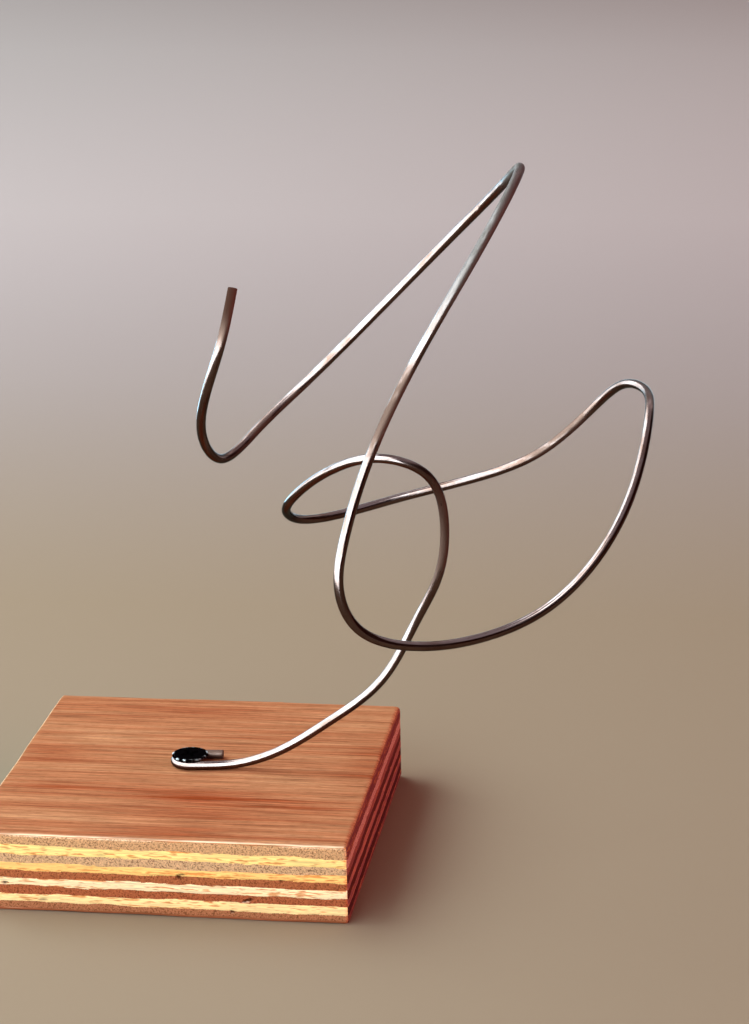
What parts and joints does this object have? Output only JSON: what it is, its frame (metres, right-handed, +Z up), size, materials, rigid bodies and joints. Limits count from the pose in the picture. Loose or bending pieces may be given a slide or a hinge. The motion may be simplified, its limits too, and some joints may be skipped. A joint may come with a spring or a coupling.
{
  "type": "wire sculpture",
  "caption": "Abstract sculpture: a single bright steel wire bent into open loops and folds, clamped by a black screw to a square plywood plinth.",
  "frame": {"origin": "middle of the plinth's underside", "axes": "+Z up, +X to the right along the plinth's front edge, +Y from the front of the plinth to its back"},
  "size_m": [0.1433, 0.0933, 0.157],
  "materials": {
    "plywood": "sanded reddish hardwood-faced plywood with bare laminated edges",
    "steel_wire": "bright drawn steel wire with small plier nicks",
    "black_screw": "black phosphated steel"
  },
  "bodies": {
    "root": {"plywood_plinth": "plywood", "bent_wire": "steel_wire", "fixing_screw": "black_screw"}
  },
  "joints": []
}
